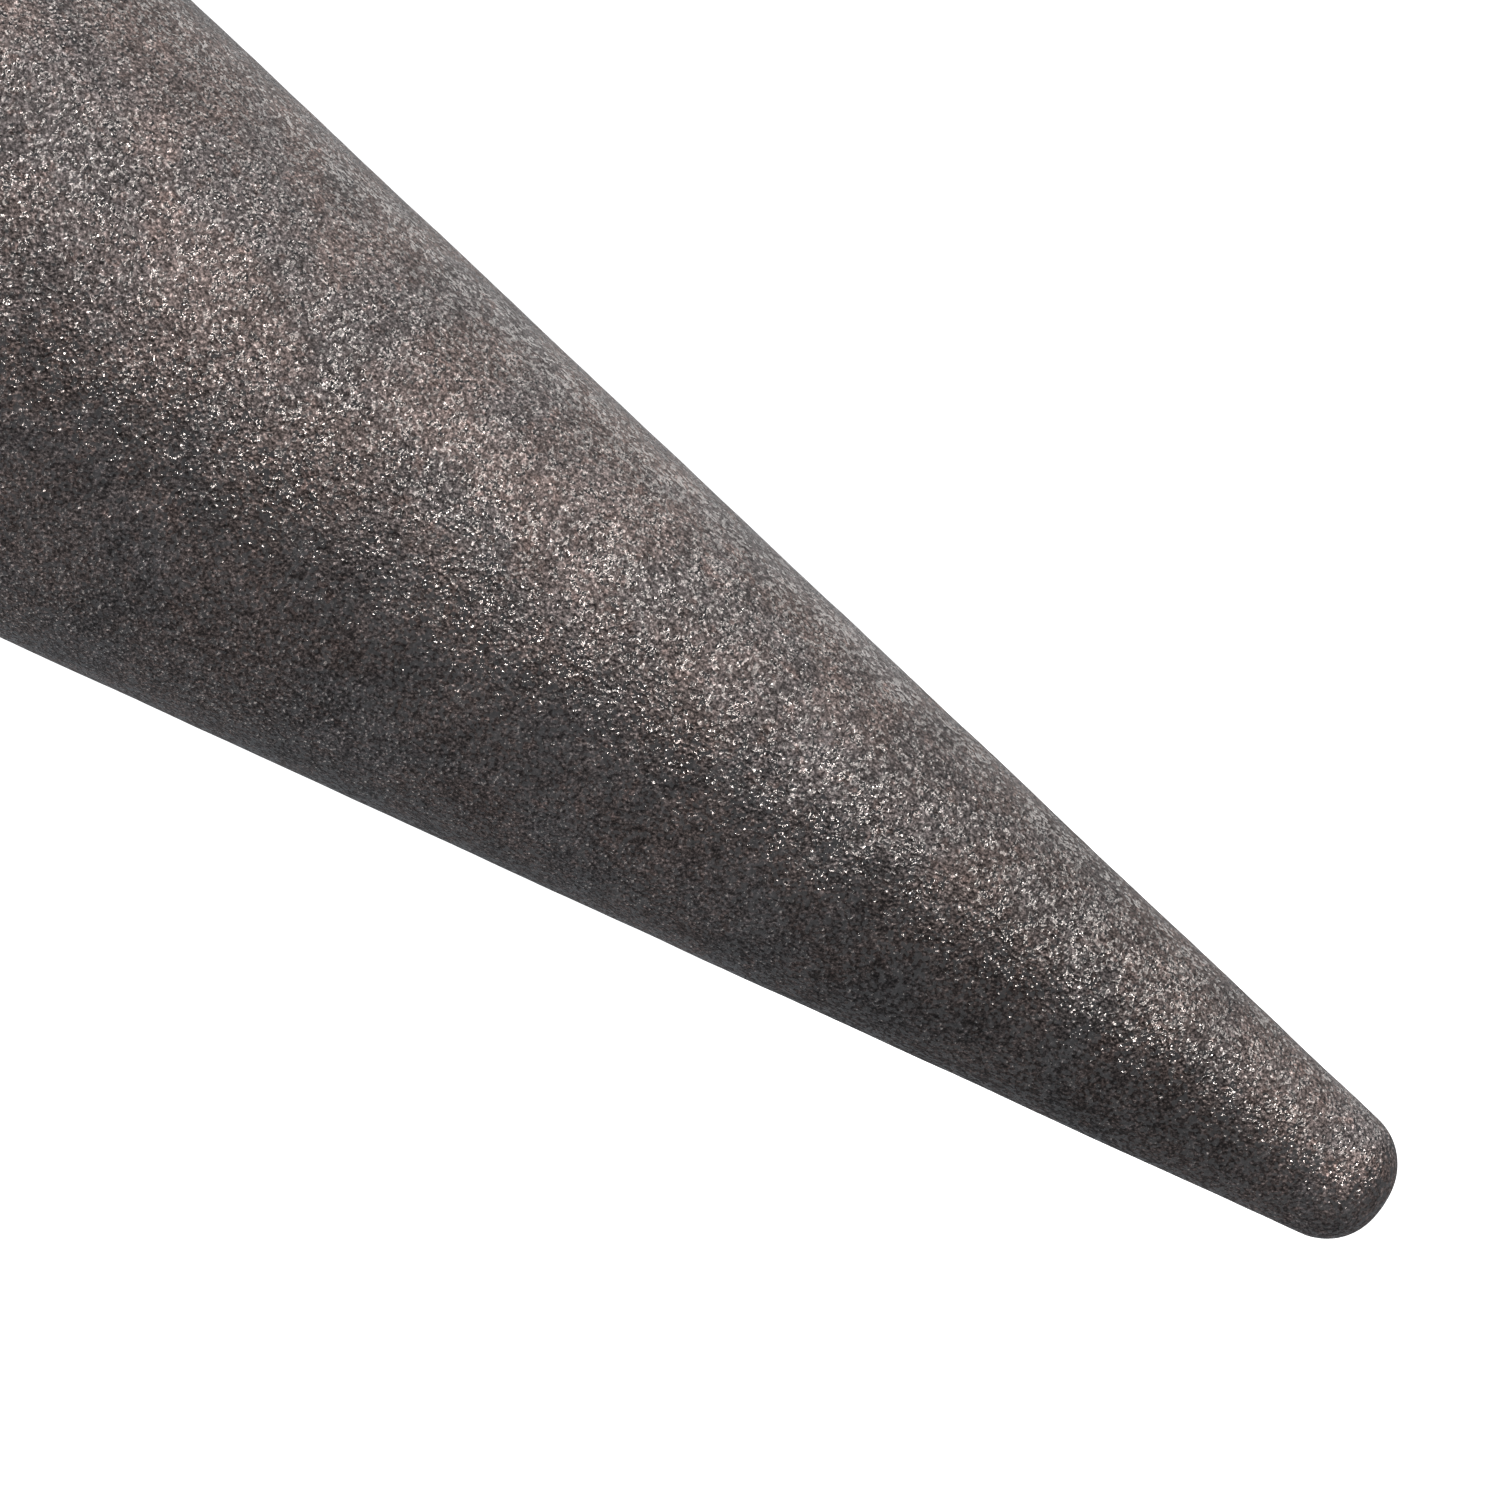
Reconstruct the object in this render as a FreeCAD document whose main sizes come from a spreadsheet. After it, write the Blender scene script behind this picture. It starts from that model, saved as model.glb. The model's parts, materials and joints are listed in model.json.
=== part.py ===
"""Drive-in post anchor: a forged point, a tubular shaft with four fins, a ground plate, and on
top of it a post shoe that swivels on a pivot screw and closes on the post with a clamp plate.

Millimetres, +Z up. The origin is on the shaft's axis at the ground line, which is the underside
of the ground plate. The post shoe opens to the front, which is -Y.
"""
import FreeCAD, Part
import os
import re
import Sketcher

# ---------------------------------------------------------------- driving dimensions
# alias, millimetres (degrees for swivel_limit), meaning
SIZES = [
    ("tube_diameter", 60.3, "outside of the shaft tube, a standard steel tube"),
    ("tube_wall", 4, "wall of the shaft tube"),
    ("tube_depth", 520, "ground line to the lower end of the tube"),
    ("point_length", 155, "length of the forged cone below the tube"),
    ("point_end_diameter", 9.3, "diameter of the cone at its end, before rounding"),
    ("point_end_round", 4.7, "radius that rounds the end of the cone"),
    ("spigot_length", 45, "plug of the point inside the tube"),
    ("spigot_clearance", 0.2, "gap between the plug and the tube, each side"),
    ("spigot_chamfer", 2, "lead-in on the plug"),
    ("weld_bevel", 2.5, "bevel on both edges of the welded seam"),
    ("weld_gap", 0.1, "gap between a plate's edge and the tube it is welded to"),
    ("pin_diameter", 8, "slotted spring pin through plug and tube"),
    ("pin_wall", 1.5, "wall of the spring pin"),
    ("pin_slot", 1.5, "slot along the spring pin"),
    ("pin_clearance", 0.05, "gap round the pin"),
    ("pin_recess", 2, "pin's end below the surface of the tube, each side"),
    ("fin_thickness", 5, "steel plate of the fins"),
    ("fin_reach", 44, "tube surface to the outer edge of a fin"),
    ("fin_straight", 70, "part of the fin with a straight outer edge"),
    ("fin_length", 290, "ground plate to the lower end of a fin"),
    ("fin_toe", 6, "width of the fin at its lower end"),
    ("plate_side", 160, "side of the square ground plate"),
    ("plate_thickness", 6, "thickness of the ground plate"),
    ("plate_corner", 12, "corner radius of the ground plate"),
    ("plate_clearance", 0.3, "gap between the ground plate and the tube"),
    ("peg_hole_diameter", 12, "holes for ground pegs"),
    ("peg_hole_inset", 15, "peg holes to the edges of the ground plate"),
    ("neck_height", 60, "ground line to the underside of the head plate"),
    ("neck_rib_reach", 32, "tube surface to the outer edge of a neck rib"),
    ("neck_rib_waist", 13, "tube surface to the waist of a neck rib"),
    ("neck_rib_foot", 7, "height of the straight edges of a neck rib"),
    ("rib_thickness", 5, "steel plate of all ribs"),
    ("head_thickness", 8, "thickness of the head plate"),
    ("swivel_limit", 20, "degrees that the shoe can turn to each side"),
    ("lock_bolt_inset", 14.5, "shell's outside to the lock bolts"),
    ("lock_bolt_border", 12, "lock bolts to the edge of the plates they join"),
    ("slot_clearance", 0.5, "gap between a lock bolt and its slot, each side"),
    ("swivel_gap", 0.2, "running gap between head plate and shoe base"),
    ("pivot_diameter", 12, "thread of the pivot screw"),
    ("pivot_fit", 0.08, "running clearance round the pivot screw"),
    ("pivot_head_diameter", 24, "countersunk head of the pivot screw"),
    ("pivot_head_rim", 0.6, "straight rim of the countersunk head"),
    ("pivot_head_clearance", 0.2, "gap between the screw's head and its countersink"),
    ("pivot_head_drop", 0.4, "head's top face below the shoe floor"),
    ("pivot_key", 8, "hexagon socket of the pivot screw across flats"),
    ("pivot_key_depth", 4, "depth of that socket"),
    ("pivot_nut_flats", 18, "weld nut of the pivot screw across flats"),
    ("pivot_nut_height", 10, "height of that nut"),
    ("bolt_diameter", 10, "thread of the lock bolts and clamp bolts"),
    ("bolt_flats", 17, "hexagon of those bolts and nuts across flats"),
    ("bolt_head", 6.4, "height of the hexagon head"),
    ("nut_height", 8, "height of the nuts"),
    ("washer_diameter", 20, "outside of the washers"),
    ("washer_thickness", 2, "thickness of the washers"),
    ("hole_clearance", 0.5, "gap between a bolt and its hole, each side"),
    ("thread_clearance", 0.05, "gap between a nut and its bolt, each side"),
    ("thread_beyond", 4, "lock bolt and pivot screw beyond their nuts"),
    ("end_chamfer", 1, "chamfer at the end of every bolt"),
    ("post_side", 90, "side of the square timber post"),
    ("post_clearance", 0.5, "gap between post and shoe, each side"),
    ("base_thickness", 8, "thickness of the shoe base"),
    ("base_border", 2.5, "shoe base beyond the back and front of the shell"),
    ("base_corner", 14, "corner radius of the shoe base"),
    ("shell_wall", 4, "steel sheet of the shoe"),
    ("shell_height", 150, "height of the shoe above its base"),
    ("bend_inside", 2, "inside radius of the bends"),
    ("flange_width", 28, "flange beyond the outside of the shoe"),
    ("flange_corner", 6, "corner radius of flanges and clamp plate"),
    ("clamp_bite", 3, "gap between flange and clamp plate on a post of full size"),
    ("clamp_travel", 9, "further opening of the clamp plate"),
    ("clamp_lift", 1, "gap between the clamp plate and the shoe base"),
    ("clamp_bolt_inset", 15, "shell's outside to the clamp bolts"),
    ("clamp_bolt_low", 36, "shoe floor to the lower clamp bolts"),
    ("clamp_bolt_high", 116, "shoe floor to the upper clamp bolts"),
    ("dome_diameter", 24, "round head of the clamp bolts"),
    ("dome_height", 5.5, "height of the round head"),
    ("dome_round", 5, "radius that rounds the head"),
    ("neck_square", 10, "square neck of the clamp bolts"),
    ("neck_clearance", 0.25, "gap round the square neck"),
    ("screw_hole_diameter", 11, "holes for the screws into the post"),
    ("screw_hole_low", 52, "shoe floor to the lower screw hole"),
    ("screw_hole_high", 102, "shoe floor to the upper screw hole"),
    ("shoe_rib_reach", 22, "shell's outside to the outer edge of a shoe rib"),
    ("shoe_rib_height", 40, "height of a shoe rib"),
    ("shoe_rib_nose", 6, "blunt ends of a shoe rib"),
    ("shoe_rib_place", 26, "shoe's middle to a rib"),
]

# ---------------------------------------------------------------- places worked out from them
TUBE_OUTSIDE = "(tube_diameter / 2)"
TUBE_INSIDE = f"({TUBE_OUTSIDE} - tube_wall)"
HEAD_TOP = "(neck_height + head_thickness)"
BASE_UNDER = f"({HEAD_TOP} + swivel_gap)"
BASE_TOP = f"({BASE_UNDER} + base_thickness)"
SHOE_INSIDE = "(post_side / 2 + post_clearance)"
SHOE_OUTSIDE = f"({SHOE_INSIDE} + shell_wall)"
FLANGE_FRONT = f"({SHOE_INSIDE} - clamp_bite)"
FLANGE_BACK = f"({FLANGE_FRONT} - shell_wall)"
FLANGE_END = f"({SHOE_OUTSIDE} + flange_width)"
CLAMP_BOLT_SIDE = f"({SHOE_OUTSIDE} + clamp_bolt_inset)"
CLAMP_FRONT = f"({SHOE_INSIDE} + shell_wall)"
SLOT_RADIUS = f"({SHOE_OUTSIDE} + lock_bolt_inset)"
PLATE_REACH = f"({SLOT_RADIUS} + lock_bolt_border)"
BOLT_HOLE = "(bolt_diameter / 2 + hole_clearance)"
PIVOT_HOLE = "(pivot_diameter / 2 + pivot_fit)"
PIN_HEIGHT = "(spigot_length / 2)"
SIDES = (1, -1)

document = FreeCAD.newDocument("post_anchor")
sheet = document.addObject("Spreadsheet::Sheet", "Sizes")
for row, (alias, number, meaning) in enumerate(SIZES, start=1):
    sheet.set(f"A{row}", meaning)
    sheet.set(f"B{row}", str(number))
    sheet.setAlias(f"B{row}", alias)
document.recompute()

ALIASES = re.compile(r"\b(" + "|".join(alias for alias, _, _ in SIZES) + r")\b")
nodes = {}


# ---------------------------------------------------------------- helpers
def bound(expression):
    """The expression with each alias pointing at its cell in the sheet."""
    return ALIASES.sub(r"Sizes.\1", expression)


def value(expression):
    """The number that an expression has now."""
    return float(sheet.evalExpression(bound(expression)))


def node(item, label):
    """Names an object as one of the sub-parts that are written out."""
    item.Label = label
    nodes[label] = item
    return item


def place(item, x="0", y="0", z="0", axis=(0, 0, 1), turn=0):
    """Turns an object and ties its position to the sheet."""
    item.Placement = FreeCAD.Placement(
        FreeCAD.Vector(), FreeCAD.Rotation(FreeCAD.Vector(*axis), turn)
    )
    for letter, expression in zip("xyz", (x, y, z)):
        item.setExpression(f"Placement.Base.{letter}", bound(expression))
    return item


def new_body(label):
    return document.addObject("PartDesign::Body", label)


def origin_feature(body, role):
    return next(item for item in body.Origin.OriginFeatures if item.Role == role)


def new_sketch(body, name, plane):
    sketch = body.newObject("Sketcher::SketchObject", name)
    sketch.AttachmentSupport = [(origin_feature(body, plane), "")]
    sketch.MapMode = "FlatFace"
    return sketch


def dimension(sketch, kind, item, point, expression):
    """One dimension of a sketch, tied to the sheet: from the origin, or a radius."""
    if kind == "Radius":
        number = sketch.addConstraint(Sketcher.Constraint(kind, item, value(expression)))
    else:
        number = sketch.addConstraint(
            Sketcher.Constraint(kind, -1, 1, item, point, value(expression))
        )
    sketch.setExpression(f"Constraints[{number}]", bound(expression))


def locate(sketch, item, point, x, y):
    """Ties a point of a sketch to its two coordinates; a bare 0 lies on the axis."""
    vertical_axis, horizontal_axis = -2, -1
    for kind, expression, axis in (
        ("DistanceX", x, vertical_axis),
        ("DistanceY", y, horizontal_axis),
    ):
        if expression == "0":
            sketch.addConstraint(Sketcher.Constraint("PointOnObject", item, point, axis))
        else:
            dimension(sketch, kind, item, point, expression)


def add_outline(sketch, points):
    """A closed outline of straight lines through the given corners."""
    first = sketch.GeometryCount
    corners = [FreeCAD.Vector(value(x), value(y), 0) for x, y in points]
    for corner, following in zip(corners, corners[1:] + corners[:1]):
        sketch.addGeometry(Part.LineSegment(corner, following), False)
    start, end = 1, 2
    for number, (x, y) in enumerate(points):
        line = first + number
        following = first + (number + 1) % len(points)
        sketch.addConstraint(Sketcher.Constraint("Coincident", line, end, following, start))
        locate(sketch, line, start, x, y)


def outline(body, name, plane, points):
    sketch = new_sketch(body, name, plane)
    add_outline(sketch, points)
    return sketch


def rectangles(body, name, plane, centres, half_width, half_height):
    """A sketch with one rectangle round each centre."""
    sketch = new_sketch(body, name, plane)
    for x, y in centres:
        corners = ((1, 1), (-1, 1), (-1, -1), (1, -1))
        points = [
            (f"{x} + {across} * {half_width}", f"{y} + {up} * {half_height}")
            for across, up in corners
        ]
        add_outline(sketch, points)
    return sketch


def circles(body, name, plane, rings):
    """A sketch with one circle for each (x, y, radius)."""
    sketch = new_sketch(body, name, plane)
    centre = 3
    for x, y, radius in rings:
        middle = FreeCAD.Vector(value(x), value(y), 0)
        circle = Part.Circle(middle, FreeCAD.Vector(0, 0, 1), value(radius))
        number = sketch.addGeometry(circle, False)
        dimension(sketch, "Radius", number, 0, radius)
        locate(sketch, number, centre, x, y)
    return sketch


def hexagon(body, name, flats):
    """A sketch of a regular hexagon with flats that face -X and +X."""
    flat = f"({flats} / 2)"
    side = f"({flat} * tan(30 deg))"
    peak = f"({flat} / cos(30 deg))"
    points = [
        (flat, side), ("0", peak), (f"-{flat}", side),
        (f"-{flat}", f"-{side}"), ("0", f"-{peak}"), (flat, f"-{side}"),
    ]
    return outline(body, name, "XY_Plane", points)


def finish_feature(body, feature):
    body.Tip = feature
    document.recompute()
    return feature


def pad(body, sketch, length, downwards=False, symmetric=False):
    feature = body.newObject("PartDesign::Pad", "Pad")
    feature.Profile = sketch
    feature.setExpression("Length", bound(length))
    feature.Reversed = downwards
    feature.Midplane = symmetric
    return finish_feature(body, feature)


def cut_through(body, sketch):
    """Cuts a sketch through the whole body, to both sides of the sketch's plane."""
    before = body.Shape.Volume
    feature = body.newObject("PartDesign::Pocket", "Pocket")
    feature.Profile = sketch
    feature.Type = "ThroughAll"
    feature.Midplane = True
    finish_feature(body, feature)
    must_have_cut(body, before)
    return feature


def cut_down(body, sketch, depth):
    """Cuts a sketch down from its plane."""
    before = body.Shape.Volume
    feature = body.newObject("PartDesign::Pocket", "Pocket")
    feature.Profile = sketch
    feature.setExpression("Length", bound(depth))
    finish_feature(body, feature)
    must_have_cut(body, before)
    return feature


def must_have_cut(body, before):
    if body.Shape.Volume > before - 0.01:
        raise RuntimeError(f"a cut in {body.Label} removed nothing")


def revolve(body, sketch):
    feature = body.newObject("PartDesign::Revolution", "Revolution")
    feature.Profile = sketch
    feature.ReferenceAxis = (origin_feature(body, "Z_Axis"), [""])
    feature.Angle = 360
    return finish_feature(body, feature)


def turn_away(body, sketch, angle="360"):
    """Cuts a sketch away as it turns about the Z axis, to both sides of its plane."""
    before = body.Shape.Volume
    feature = body.newObject("PartDesign::Groove", "Groove")
    feature.Profile = sketch
    feature.ReferenceAxis = (origin_feature(body, "Z_Axis"), [""])
    feature.setExpression("Angle", bound(angle))
    feature.Midplane = True
    finish_feature(body, feature)
    must_have_cut(body, before)
    return feature


def edges_where(body, wanted):
    """The names of the edges of a body's tip that a test accepts."""
    shape = body.Tip.Shape
    names = [f"Edge{i}" for i, edge in enumerate(shape.Edges, start=1) if wanted(edge)]
    if not names:
        raise RuntimeError(f"no edge of {body.Label} fits the test")
    return names


def is_ring(edge, radius, height):
    """True for a full circle about the Z axis at a radius and a height."""
    curve = edge.Curve
    return (
        isinstance(curve, Part.Circle)
        and abs(curve.Radius - value(radius)) < 0.001
        and abs(curve.Center.z - value(height)) < 0.001
        and abs(curve.Center.x) + abs(curve.Center.y) < 0.001
    )


def is_upright_at(edge, places):
    """True for a straight edge along Z at one of the (x, y) places."""
    ends = [vertex.Point for vertex in edge.Vertexes]
    if len(ends) != 2:
        return False
    low, high = ends
    if abs(low.x - high.x) + abs(low.y - high.y) > 0.001:
        return False
    return any(
        abs(low.x - value(x)) < 0.001 and abs(low.y - value(y)) < 0.001 for x, y in places
    )


def dress(body, kind, size, wanted):
    """A fillet or a chamfer on the edges that a test accepts."""
    prop = {"Fillet": "Radius", "Chamfer": "Size"}[kind]
    names = edges_where(body, wanted)
    base = body.Tip
    feature = body.newObject(f"PartDesign::{kind}", kind)
    feature.Base = (base, names)
    feature.setExpression(prop, bound(size))
    return finish_feature(body, feature)


def copies(label, master, places, axis=(0, 0, 1), turn=0):
    """One node that holds separate copies of a piece, one at each place."""
    links = []
    for number, (x, y, z) in enumerate(places):
        link = document.addObject("App::Link", f"{label}_{number}")
        link.LinkedObject = master
        links.append(place(link, x, y, z, axis, turn))
    group = document.addObject("Part::Compound", label)
    group.Links = links
    return node(group, label)


# ---------------------------------------------------------------- the driven shaft
def make_drive_point():
    """Forged cone with a rounded end, and a plug that fits into the tube."""
    body = node(new_body("drive_point"), "drive_point")
    plug = f"({TUBE_INSIDE} - spigot_clearance)"
    end = "(point_end_diameter / 2)"
    profile = outline(body, "PointProfile", "XZ_Plane", [
        ("0", "-point_length"), (end, "-point_length"), (TUBE_OUTSIDE, "0"),
        (plug, "0"), (plug, "spigot_length"), ("0", "spigot_length"),
    ])
    revolve(body, profile)
    largest_round = f"min(point_end_round; {end} * 1.1)"
    dress(body, "Fillet", largest_round, lambda edge: is_ring(edge, end, "-point_length"))
    dress(body, "Chamfer", "weld_bevel", lambda edge: is_ring(edge, TUBE_OUTSIDE, "0"))
    dress(body, "Chamfer", "spigot_chamfer", lambda edge: is_ring(edge, plug, "spigot_length"))
    cut_pin_hole(body)
    place(body, z="-tube_depth")


def cut_pin_hole(body):
    """The cross hole of the spring pin, along X, halfway up the plug."""
    radius = "(pin_diameter / 2 + pin_clearance)"
    cut_through(body, circles(body, "PinHole", "YZ_Plane", [("0", PIN_HEIGHT, radius)]))


def make_point_pin():
    """Slotted spring pin that ties the point to the tube."""
    body = node(new_body("point_pin"), "point_pin")
    outside = "(pin_diameter / 2)"
    rings = [("0", "0", outside), ("0", "0", f"({outside} - pin_wall)")]
    pad(body, circles(body, "PinRing", "XY_Plane", rings), "tube_diameter - 2 * pin_recess")
    slot = outline(body, "PinSlot", "XY_Plane", [
        ("0", "pin_slot / 2"), ("0", "-pin_slot / 2"),
        ("pin_diameter", "-pin_slot / 2"), ("pin_diameter", "pin_slot / 2"),
    ])
    cut_through(body, slot)
    start = f"-({TUBE_OUTSIDE} - pin_recess)"
    place(body, x=start, z=f"{PIN_HEIGHT} - tube_depth", axis=(0, 1, 0), turn=90)


def make_shaft_tube():
    """Tube from the forged point up to the head plate."""
    body = node(new_body("shaft_tube"), "shaft_tube")
    rings = [("0", "0", TUBE_OUTSIDE), ("0", "0", TUBE_INSIDE)]
    pad(body, circles(body, "TubeRing", "XY_Plane", rings), "tube_depth + neck_height")
    dress(body, "Chamfer", "weld_bevel", lambda edge: is_ring(edge, TUBE_OUTSIDE, "0"))
    cut_pin_hole(body)
    place(body, z="-tube_depth")


def make_fin(label, turn):
    """Tapered plate below the ground plate, which keeps the anchor from turning."""
    body = node(new_body(label), label)
    inner = f"({TUBE_OUTSIDE} + weld_gap)"
    outer = f"({TUBE_OUTSIDE} + fin_reach)"
    profile = outline(body, "FinProfile", "XZ_Plane", [
        (inner, "0"), (outer, "0"), (outer, "-fin_straight"),
        (f"{inner} + fin_toe", "-fin_length"), (inner, "-fin_length"),
    ])
    pad(body, profile, "fin_thickness", symmetric=True)
    place(body, turn=turn)


def make_ground_plate():
    """Square plate that lies on the ground, with a hole in each corner for a peg."""
    body = node(new_body("ground_plate"), "ground_plate")
    half = "(plate_side / 2)"
    square = rectangles(body, "PlateOutline", "XY_Plane", [("0", "0")], half, half)
    pad(body, square, "plate_thickness")
    corners = [(f"{a} * {half}", f"{b} * {half}") for a in SIDES for b in SIDES]
    dress(body, "Fillet", "plate_corner", lambda edge: is_upright_at(edge, corners))
    holes = [("0", "0", f"({TUBE_OUTSIDE} + plate_clearance)")]
    for across in SIDES:
        for along in SIDES:
            spot = [f"{sign} * ({half} - peg_hole_inset)" for sign in (across, along)]
            holes.append((*spot, "peg_hole_diameter / 2"))
    cut_through(body, circles(body, "PlateHoles", "XY_Plane", holes))
    place(body)


# ---------------------------------------------------------------- the neck and the swivel
def make_neck_rib(label, turn):
    """Waisted rib between the ground plate and the head plate."""
    body = node(new_body(label), label)
    inner = f"({TUBE_OUTSIDE} + weld_gap)"
    outer = f"({TUBE_OUTSIDE} + neck_rib_reach)"
    waist = f"({TUBE_OUTSIDE} + neck_rib_waist)"
    low, high = "plate_thickness", "neck_height"
    middle = f"({low} + {high}) / 2"
    profile = outline(body, "RibProfile", "XZ_Plane", [
        (inner, low), (outer, low), (outer, f"{low} + neck_rib_foot"),
        (waist, middle),
        (outer, f"{high} - neck_rib_foot"), (outer, high), (inner, high),
    ])
    pad(body, profile, "rib_thickness", symmetric=True)
    place(body, turn=turn)


def make_head_plate():
    """Round plate on the tube, with the pivot hole and two curved slots."""
    body = node(new_body("head_plate"), "head_plate")
    rings = [("0", "0", PLATE_REACH), ("0", "0", PIVOT_HOLE)]
    pad(body, circles(body, "HeadOutline", "XY_Plane", rings), "head_thickness")
    half_width = "(bolt_diameter / 2 + slot_clearance)"
    strip = rectangles(
        body, "SlotStrip", "XZ_Plane", [(SLOT_RADIUS, "head_thickness / 2")],
        half_width, "head_thickness",
    )
    curve = turn_away(body, strip, "2 * swivel_limit")
    along = f"{SLOT_RADIUS} * cos(swivel_limit * 1 deg)"
    across = f"{SLOT_RADIUS} * sin(swivel_limit * 1 deg)"
    ends = [(along, f"{sign} * {across}", half_width) for sign in SIDES]
    rounds = cut_through(body, circles(body, "SlotEnds", "XY_Plane", ends))
    before = body.Shape.Volume
    pattern = body.newObject("PartDesign::PolarPattern", "BothSlots")
    pattern.Originals = [curve, rounds]
    pattern.Axis = (origin_feature(body, "Z_Axis"), [""])
    pattern.Angle = 360
    pattern.Occurrences = 2
    finish_feature(body, pattern)
    must_have_cut(body, before)
    place(body, z="neck_height")


def chamfer_corners(body, flats, height, upwards):
    """Turns the corners of a hexagon off at 30 degrees, at its top or its bottom."""
    face_radius = f"({flats} * 0.475)"
    outside = f"({flats} * 0.65)"
    drop = f"(({outside} - {face_radius}) * tan(30 deg))"
    inward = "-" if upwards else "+"
    profile = outline(body, "CornerChamfer", "XZ_Plane", [
        (face_radius, height), (outside, height), (outside, f"{height} {inward} {drop}"),
    ])
    turn_away(body, profile)


def make_nut(label, flats, height, thread):
    """Hexagon nut, chamfered on both faces, standing on the XY plane."""
    body = new_body(label)
    pad(body, hexagon(body, "NutHexagon", flats), height)
    chamfer_corners(body, flats, height, upwards=True)
    chamfer_corners(body, flats, "0", upwards=False)
    bore = f"({thread} / 2 + thread_clearance)"
    cut_through(body, circles(body, "NutBore", "XY_Plane", [("0", "0", bore)]))
    return body


def add_shank(body, thread, length):
    """Round shank that hangs down from the XY plane, chamfered at its end."""
    radius = f"({thread} / 2)"
    pad(body, circles(body, "Shank", "XY_Plane", [("0", "0", radius)]), length, downwards=True)
    dress(body, "Chamfer", "end_chamfer", lambda edge: is_ring(edge, radius, f"-({length})"))


def make_pivot_nut():
    """Weld nut under the head plate, inside the tube."""
    nut = make_nut("pivot_nut", "pivot_nut_flats", "pivot_nut_height", "pivot_diameter")
    place(node(nut, "pivot_nut"), z="neck_height - pivot_nut_height")


def make_pivot_bolt():
    """Countersunk screw that the shoe turns on. Its head lies below the shoe floor."""
    body = node(new_body("pivot_bolt"), "pivot_bolt")
    shank = "(pivot_diameter / 2)"
    head = "(pivot_head_diameter / 2)"
    bottom = (
        "-(base_thickness - pivot_head_drop + swivel_gap + head_thickness"
        " + pivot_nut_height + thread_beyond)"
    )
    profile = outline(body, "ScrewProfile", "XZ_Plane", [
        ("0", "0"), (head, "0"),
        (head, "-pivot_head_rim"), (shank, f"-(pivot_head_rim + {head} - {shank})"),
        (shank, f"{bottom} + end_chamfer"), (f"{shank} - end_chamfer", bottom), ("0", bottom),
    ])
    revolve(body, profile)
    cut_down(body, hexagon(body, "KeySocket", "pivot_key"), "pivot_key_depth")
    place(body, z=f"{BASE_TOP} - pivot_head_drop")


# ---------------------------------------------------------------- the post shoe
def make_shoe_base():
    """Floor of the shoe, with the countersunk pivot hole and the lock bolt holes."""
    body = node(new_body("shoe_base"), "shoe_base")
    half_depth = f"({SHOE_OUTSIDE} + base_border)"
    floor = rectangles(
        body, "BaseOutline", "XY_Plane", [("0", "0")], PLATE_REACH, half_depth
    )
    pad(body, floor, "base_thickness")
    corners = [(f"{a} * {PLATE_REACH}", f"{b} * {half_depth}") for a in SIDES for b in SIDES]
    dress(body, "Fillet", "base_corner", lambda edge: is_upright_at(edge, corners))
    holes = [("0", "0", PIVOT_HOLE)]
    holes += [(f"{side} * {SLOT_RADIUS}", "0", BOLT_HOLE) for side in SIDES]
    cut_through(body, circles(body, "BaseHoles", "XY_Plane", holes))
    rim = "(pivot_head_diameter / 2 + pivot_head_clearance)"
    shelf = "(base_thickness - pivot_head_drop - pivot_head_rim)"
    sink = outline(body, "Countersink", "XZ_Plane", [
        ("0", f"{shelf} - {rim}"), (rim, shelf),
        (rim, "base_thickness + 1"), ("0", "base_thickness + 1"),
    ])
    turn_away(body, sink)
    place(body, z=BASE_UNDER)


def make_shoe_shell():
    """Folded sheet on three sides of the post, with a flange at each front edge."""
    body = node(new_body("shoe_shell"), "shoe_shell")
    right_half = [
        (SHOE_INSIDE, f"-{FLANGE_FRONT}"), (FLANGE_END, f"-{FLANGE_FRONT}"),
        (FLANGE_END, f"-{FLANGE_BACK}"), (SHOE_OUTSIDE, f"-{FLANGE_BACK}"),
        (SHOE_OUTSIDE, SHOE_OUTSIDE),
    ]
    left_half = [(f"-{x}", y) for x, y in reversed(right_half)]
    inner_back = [(f"-{SHOE_INSIDE}", SHOE_INSIDE), (SHOE_INSIDE, SHOE_INSIDE)]
    profile = outline(body, "ShellProfile", "XY_Plane", right_half + left_half + inner_back)
    pad(body, profile, "shell_height")
    inside_bends = inner_back + [
        (f"{side} * {SHOE_OUTSIDE}", f"-{FLANGE_BACK}") for side in SIDES
    ]
    outside_bends = []
    for side in SIDES:
        outside_bends.append((f"{side} * {SHOE_INSIDE}", f"-{FLANGE_FRONT}"))
        outside_bends.append((f"{side} * {SHOE_OUTSIDE}", SHOE_OUTSIDE))
    dress(body, "Fillet", "bend_inside", lambda edge: is_upright_at(edge, inside_bends))
    dress(body, "Fillet", "bend_inside + shell_wall",
          lambda edge: is_upright_at(edge, outside_bends))
    round_upper_corners(body)
    screw_heights = ("screw_hole_low", "screw_hole_high")
    holes = [("0", height, "screw_hole_diameter / 2") for height in screw_heights]
    cut_through(body, circles(body, "BackScrewHoles", "XZ_Plane", holes))
    cut_through(body, circles(body, "SideScrewHoles", "YZ_Plane", holes))
    half = "(neck_square / 2 + neck_clearance)"
    squares = rectangles(body, "SquareHoles", "XZ_Plane", clamp_bolt_spots(), half, half)
    cut_through(body, squares)
    place(body, z=BASE_TOP)


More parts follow.
